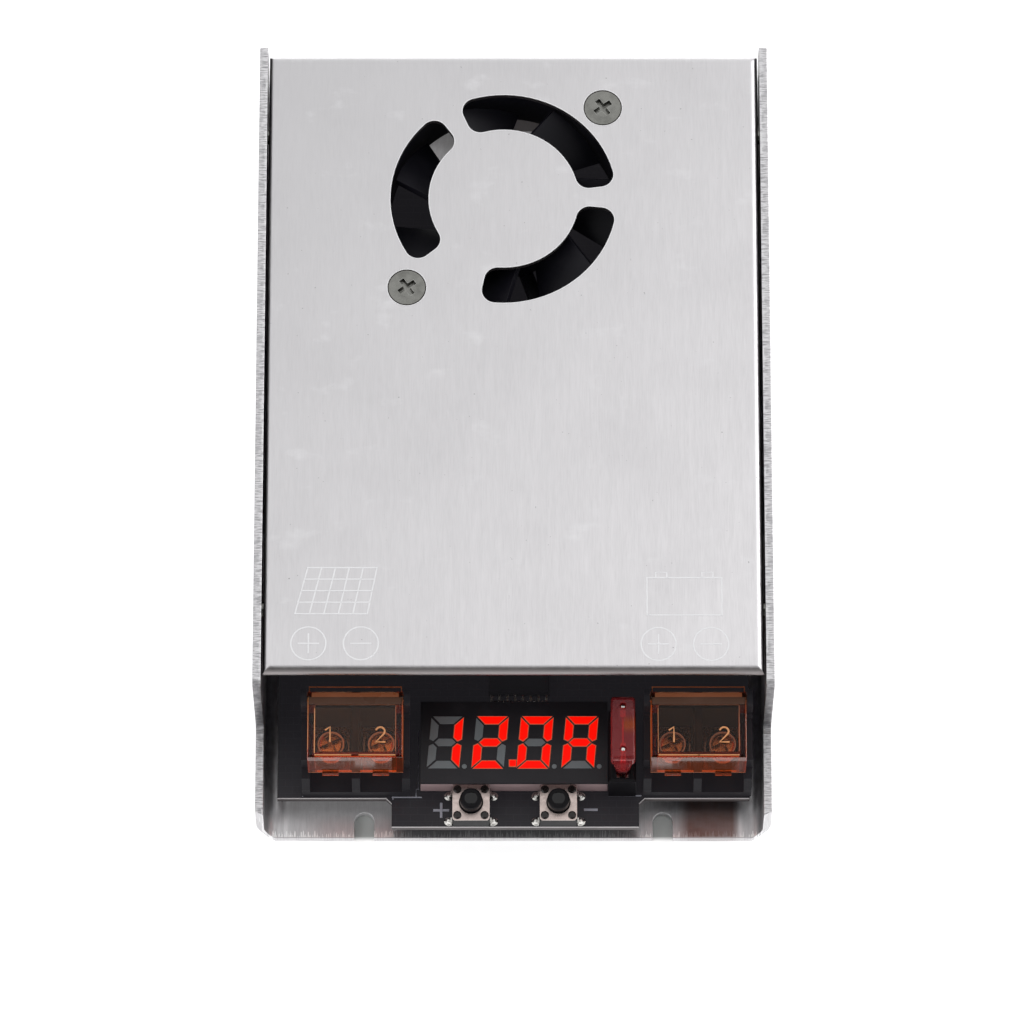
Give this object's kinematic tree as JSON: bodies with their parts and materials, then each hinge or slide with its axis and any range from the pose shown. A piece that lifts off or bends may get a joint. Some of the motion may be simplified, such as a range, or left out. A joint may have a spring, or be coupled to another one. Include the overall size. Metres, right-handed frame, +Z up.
{
  "type": "charge controller",
  "caption": "Solar charge controller in a folded aluminium case, with a fan grille, red digit display, push buttons, blade fuse and covered screw terminals.",
  "frame": {"origin": "middle of the case's underside", "axes": "+X across the case towards the battery terminals, +Y from the open terminal end towards the fan end, +Z up out of the cover"},
  "size_m": [0.0834, 0.128, 0.0303],
  "materials": {
    "chassis_aluminium": "sheared and brushed sheet",
    "cover_aluminium": "fine brushed grain with faint printed marks",
    "zinc_screws": "zinc plated",
    "insulating_film": "matt film",
    "fan_black": "moulded",
    "bearing_bronze": "sintered",
    "laminated_steel": "stamped",
    "copper_winding": "clear enamel",
    "magnet_ferrite": "matt",
    "shaft_steel": "ground",
    "wire_red": "insulation",
    "wire_black": "insulation",
    "plug_white": "moulded",
    "board_black": "solder mask",
    "standoff_steel": "plated",
    "chip_black": "moulded",
    "tinned_metal": "tin plated",
    "can_aluminium": "drawn",
    "capacitor_sleeve": "shrink sleeve",
    "core_powder": "coated",
    "thermal_pad": "soft",
    "shunt_wire": "drawn",
    "terminal_black": "moulded",
    "display_plastic": "moulded",
    "display_face": "dark film",
    "segment_lit": "lit",
    "segment_unlit": "diffusing",
    "switch_black": "moulded",
    "switch_steel": "stamped",
    "fuse_red": "clear",
    "fuse_metal": "tin plated",
    "cover_amber": "clear",
    "clamp_steel": "nickel plated"
  },
  "bodies": {
    "chassis": {"base_chassis": "chassis_aluminium", "top_cover": "cover_aluminium", "cover_screws": "zinc_screws", "insulating_sheet": "insulating_film", "fan_frame": "fan_black", "fan_bearing": "bearing_bronze", "fan_stator": "laminated_steel", "fan_coils": "copper_winding", "fan_screws": "zinc_screws", "fan_nuts": "zinc_screws", "fan_plug": "plug_white", "fan_header": "plug_white", "fan_lead_positive": "wire_red", "fan_lead_negative": "wire_black", "main_pcb": "board_black", "pcb_standoffs": "standoff_steel", "pcb_screws": "zinc_screws", "chips": "chip_black", "chip_pins": "tinned_metal", "capacitor_cans": "can_aluminium", "capacitor_sleeves": "capacitor_sleeve", "inductor_core": "core_powder", "inductor_winding": "copper_winding", "thermal_pads": "thermal_pad", "power_tabs": "tinned_metal", "power_bodies": "chip_black", "power_leads": "tinned_metal", "power_screws": "zinc_screws", "power_nuts": "zinc_screws", "shunt_resistor": "shunt_wire", "terminal_housings": "terminal_black", "terminal_contacts": "tinned_metal", "display_housing": "display_plastic", "display_face": "display_face", "display_segments_lit": "segment_lit", "display_segments_unlit": "segment_unlit", "switch_bases": "switch_black", "switch_plates": "switch_steel", "switch_domes": "switch_steel", "switch_pins": "tinned_metal", "fuse_holder": "switch_black", "fuse_contacts": "tinned_metal"},
    "fan_rotor": {"fan_rotor": "fan_black", "fan_magnet": "magnet_ferrite", "fan_shaft": "shaft_steel"},
    "fuse": {"fuse_body": "fuse_red", "fuse_element": "fuse_metal"},
    "button_plus": {"button_plus": "switch_black"},
    "button_minus": {"button_minus": "switch_black"},
    "terminal_cover_left": {"terminal_cover_left": "cover_amber"},
    "terminal_cover_right": {"terminal_cover_right": "cover_amber"},
    "clamp_1": {"clamp_plate_1": "clamp_steel"},
    "screw_1": {"terminal_screw_1": "clamp_steel"},
    "clamp_2": {"clamp_plate_2": "clamp_steel"},
    "screw_2": {"terminal_screw_2": "clamp_steel"},
    "clamp_3": {"clamp_plate_3": "clamp_steel"},
    "screw_3": {"terminal_screw_3": "clamp_steel"},
    "clamp_4": {"clamp_plate_4": "clamp_steel"},
    "screw_4": {"terminal_screw_4": "clamp_steel"}
  },
  "joints": [
    {"name": "fan_spin", "type": "hinge", "parent": "chassis", "child": "fan_rotor", "pos_m": [-0.00135, 0.0368, 0.025], "axis": [0, 0, 1], "continuous": true},
    {"name": "fuse_pull", "type": "slide", "parent": "chassis", "child": "fuse", "axis": [0, 0, 1], "range_m": [0, 0.012]},
    {"name": "button_plus_press", "type": "slide", "parent": "chassis", "child": "button_plus", "axis": [0, 0, -1], "range_m": [0, 0.00025], "stiffness_N_per_m": 6000},
    {"name": "button_minus_press", "type": "slide", "parent": "chassis", "child": "button_minus", "axis": [0, 0, -1], "range_m": [0, 0.00025], "stiffness_N_per_m": 6000},
    {"name": "terminal_cover_left_open", "type": "hinge", "parent": "chassis", "child": "terminal_cover_left", "pos_m": [-0.0254, -0.047, 0.021], "axis": [-1, 0, 0], "range_deg": [0, 85]},
    {"name": "terminal_cover_right_open", "type": "hinge", "parent": "chassis", "child": "terminal_cover_right", "pos_m": [0.0297, -0.047, 0.021], "axis": [-1, 0, 0], "range_deg": [0, 85]},
    {"name": "clamp_1_lift", "type": "slide", "parent": "chassis", "child": "clamp_1", "axis": [0, 0, 1], "range_m": [0, 0.0019]},
    {"name": "screw_1_turn", "type": "hinge", "parent": "clamp_1", "child": "screw_1", "pos_m": [-0.02945, -0.052, 0.0116], "axis": [0, 0, 1], "range_deg": [0, 1370]},
    {"name": "clamp_2_lift", "type": "slide", "parent": "chassis", "child": "clamp_2", "axis": [0, 0, 1], "range_m": [0, 0.0019]},
    {"name": "screw_2_turn", "type": "hinge", "parent": "clamp_2", "child": "screw_2", "pos_m": [-0.02135, -0.052, 0.0116], "axis": [0, 0, 1], "range_deg": [0, 1370]},
    {"name": "clamp_3_lift", "type": "slide", "parent": "chassis", "child": "clamp_3", "axis": [0, 0, 1], "range_m": [0, 0.0019]},
    {"name": "screw_3_turn", "type": "hinge", "parent": "clamp_3", "child": "screw_3", "pos_m": [0.02565, -0.052, 0.0116], "axis": [0, 0, 1], "range_deg": [0, 1370]},
    {"name": "clamp_4_lift", "type": "slide", "parent": "chassis", "child": "clamp_4", "axis": [0, 0, 1], "range_m": [0, 0.0019]},
    {"name": "screw_4_turn", "type": "hinge", "parent": "clamp_4", "child": "screw_4", "pos_m": [0.03375, -0.052, 0.0116], "axis": [0, 0, 1], "range_deg": [0, 1370]}
  ],
  "couplings": [
    {"joint": "screw_1_turn", "follows": "clamp_1_lift", "rad_per_m": 12566},
    {"joint": "screw_2_turn", "follows": "clamp_2_lift", "rad_per_m": 12566},
    {"joint": "screw_3_turn", "follows": "clamp_3_lift", "rad_per_m": 12566},
    {"joint": "screw_4_turn", "follows": "clamp_4_lift", "rad_per_m": 12566}
  ]
}
